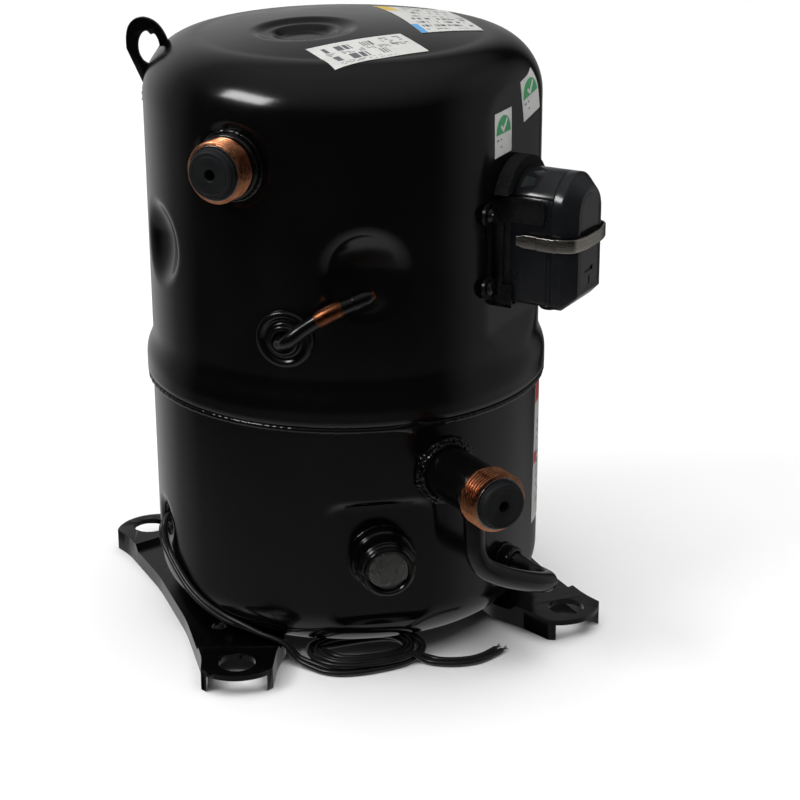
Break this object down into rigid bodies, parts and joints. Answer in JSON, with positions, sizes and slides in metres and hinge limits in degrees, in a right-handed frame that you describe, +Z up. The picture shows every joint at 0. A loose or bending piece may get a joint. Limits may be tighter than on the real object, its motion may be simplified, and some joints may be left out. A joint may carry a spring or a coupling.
{
  "type": "scroll compressor",
  "caption": "Hermetic scroll compressor in a welded black shell on foot rails, with threaded pipe connections, terminal box, sight glass and crankcase heater.",
  "frame": {"origin": "bottom centre of the compressor without the heater's free leads, on the floor that the foot rails stand on", "axes": "+Z up along the shell's axis; +X to the right across the two foot rails; -Y to the front, where the discharge connection and the sight glass are"},
  "size_m": [0.2306, 0.2756, 0.33],
  "materials": {
    "black_paint": "glossy black enamel",
    "copper": "copper, machined thread",
    "plug_rubber": "matt black rubber",
    "lead_rubber": "black insulated lead",
    "box_plastic": "glossy blue-black moulded plastic",
    "foam": "speckled grey foam",
    "bracket_steel": "black-finished steel",
    "spring_steel": "bright spring steel",
    "sight_glass": "clear glass",
    "ground_steel": "ground steel",
    "lamination": "stacked electrical steel",
    "winding": "varnished copper winding",
    "bronze": "bearing bronze",
    "alloy": "machined aluminium",
    "cast_iron": "machined cast iron"
  },
  "bodies": {
    "shell": {"upper_shell": "black_paint", "lower_shell": "black_paint", "seam_weld": "black_paint", "foot_rail_right": "black_paint", "foot_rail_left": "black_paint", "lifting_lug": "black_paint", "suction_spigot": "black_paint", "discharge_stub": "black_paint", "process_boss": "black_paint", "process_tube": "black_paint", "sight_glass_body": "black_paint", "heater_well": "black_paint", "oil_return_tube": "black_paint", "suction_connection": "copper", "discharge_connection": "copper", "suction_inlet_tube": "copper", "process_tube_tip": "copper", "cable_grommet": "plug_rubber", "heater_lead_a": "lead_rubber", "heater_lead_b": "lead_rubber", "heater_lead_hank": "lead_rubber", "heater_tail_a": "lead_rubber", "heater_tail_b": "lead_rubber", "motor_lead": "lead_rubber", "terminal_box_base": "box_plastic", "terminal_gasket": "foam", "terminal_bracket": "bracket_steel", "bracket_screw_1": "bracket_steel", "bracket_screw_2": "bracket_steel", "bracket_screw_3": "bracket_steel", "bracket_screw_4": "bracket_steel", "discharge_muffler": "bracket_steel", "sight_glass_lens": "sight_glass", "hermetic_terminal": "ground_steel", "heater_cartridge": "ground_steel", "scroll_bolt_1": "ground_steel", "scroll_bolt_2": "ground_steel", "scroll_bolt_3": "ground_steel", "scroll_bolt_4": "ground_steel", "valve_guard": "ground_steel", "stator_core": "lamination", "stator_winding": "winding", "lower_bearing_bush": "bronze", "main_bearing_bush": "bronze", "lower_bearing_bracket": "cast_iron", "main_bearing_housing": "cast_iron", "fixed_scroll": "cast_iron"},
    "crank": {"crankshaft": "ground_steel", "oil_pickup": "alloy", "drive_bush": "bronze", "rotor": "lamination", "upper_counterweight": "bronze", "lower_counterweight": "bronze"},
    "orbiter": {"orbiting_scroll": "cast_iron"},
    "oldham": {"oldham_ring": "alloy"},
    "check_valve": {"check_valve_disc": "ground_steel"},
    "cover": {"terminal_box_cover": "box_plastic"},
    "clip": {"cover_clip": "spring_steel"},
    "suction_cap": {"suction_plug": "plug_rubber"},
    "discharge_cap": {"discharge_plug": "plug_rubber"}
  },
  "joints": [
    {"name": "crank_spin", "type": "hinge", "parent": "shell", "child": "crank", "pos_m": [0, 0.0266, 0.14], "axis": [0, 0, 1], "continuous": true},
    {"name": "orbit_counterturn", "type": "hinge", "parent": "crank", "child": "orbiter", "pos_m": [0.0048, 0.0266, 0.24], "axis": [0, 0, 1], "continuous": true},
    {"name": "oldham_slide", "type": "slide", "parent": "shell", "child": "oldham", "axis": [0, 1, 0], "range_m": [-0.0048, 0.0048]},
    {"name": "valve_lift", "type": "slide", "parent": "shell", "child": "check_valve", "axis": [0, 0, 1], "range_m": [0, 0.003]},
    {"name": "cover_pull", "type": "slide", "parent": "shell", "child": "cover", "axis": [0.6561, -0.7547, 0], "range_m": [0, 0.05]},
    {"name": "clip_pull", "type": "slide", "parent": "cover", "child": "clip", "axis": [0.6561, -0.7547, 0], "range_m": [0, 0.06]},
    {"name": "suction_plug_pull", "type": "slide", "parent": "shell", "child": "suction_cap", "axis": [-0.7193, -0.6947, 0], "range_m": [0, 0.03]},
    {"name": "discharge_plug_pull", "type": "slide", "parent": "shell", "child": "discharge_cap", "axis": [0.1736, -0.9848, 0], "range_m": [0, 0.03]}
  ],
  "couplings": [
    {"joint": "orbit_counterturn", "follows": "crank_spin", "ratio": -1}
  ]
}
